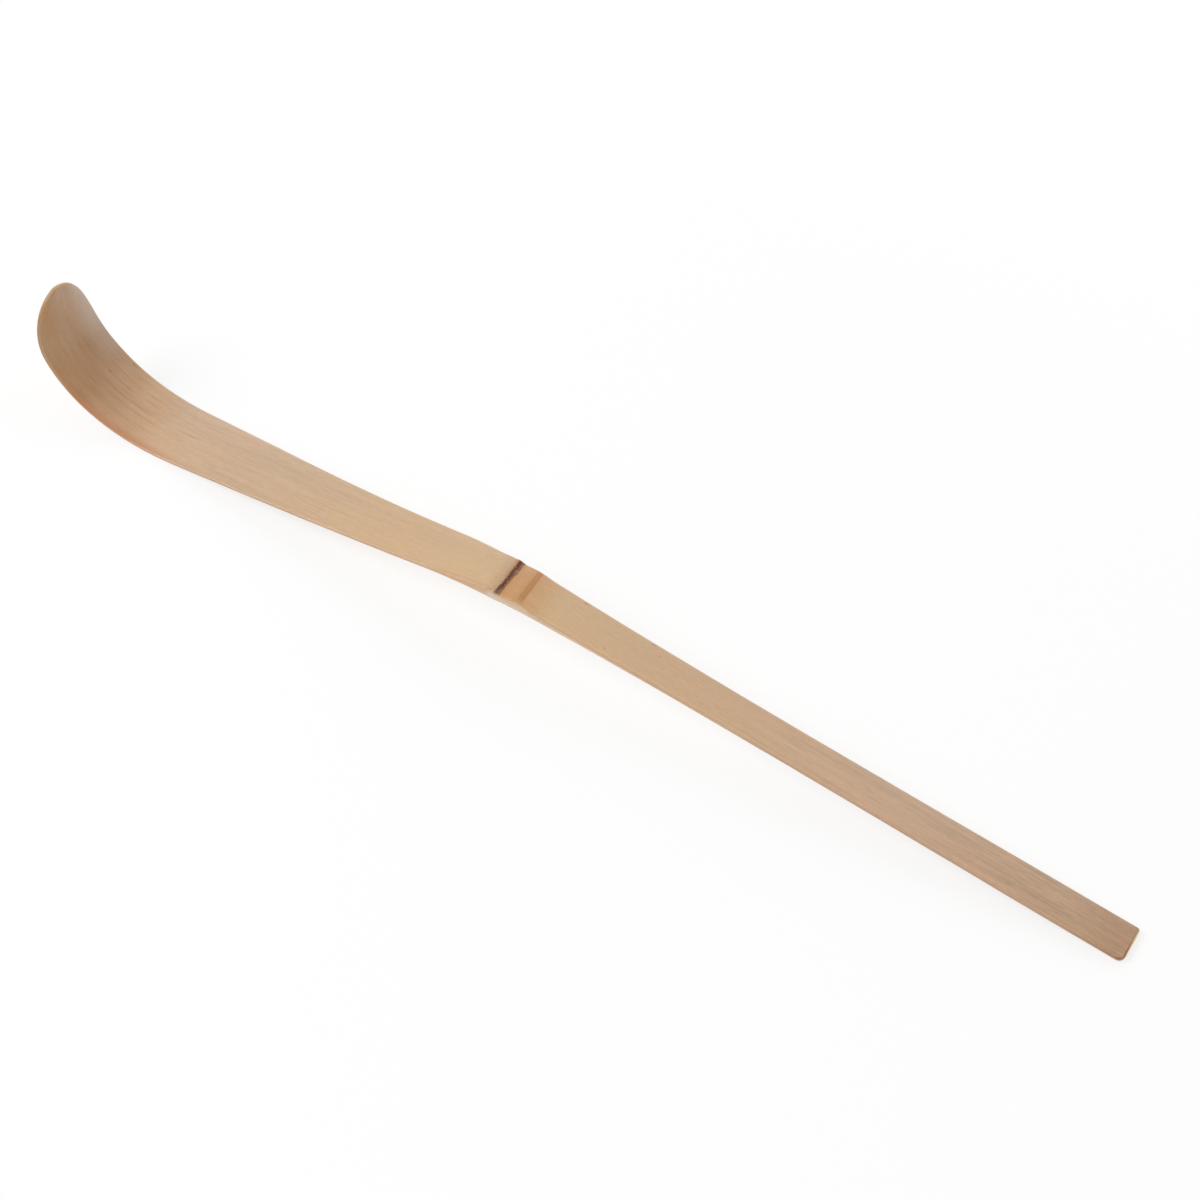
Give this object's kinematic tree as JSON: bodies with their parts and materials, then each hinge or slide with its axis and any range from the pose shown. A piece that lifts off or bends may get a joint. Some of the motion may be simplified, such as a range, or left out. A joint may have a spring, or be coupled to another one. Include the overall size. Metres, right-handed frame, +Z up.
{
  "type": "tea scoop",
  "caption": "Bamboo scoop for powdered tea, carved from one strip of culm, with a node in mid length, a slim handle and a tip bent up by steam.",
  "frame": {"origin": "on the surface that the scoop lies on, under the middle of its length and width", "axes": "+X runs along the strip from the bent scoop to the cut end of the handle, +Y across the strip, +Z up, with the skin of the bamboo on top"},
  "size_m": [0.1804, 0.0116, 0.023],
  "materials": {
    "bamboo": "bare bamboo, smooth skin on top and carved sides, satin, light straw tan with fine fibre streaks",
    "dried_sheath": "rough dark brown dried sheath, matt and fibrous"
  },
  "bodies": {
    "root": {"bamboo_strip": "bamboo", "sheath_scar": "dried_sheath"}
  },
  "joints": []
}
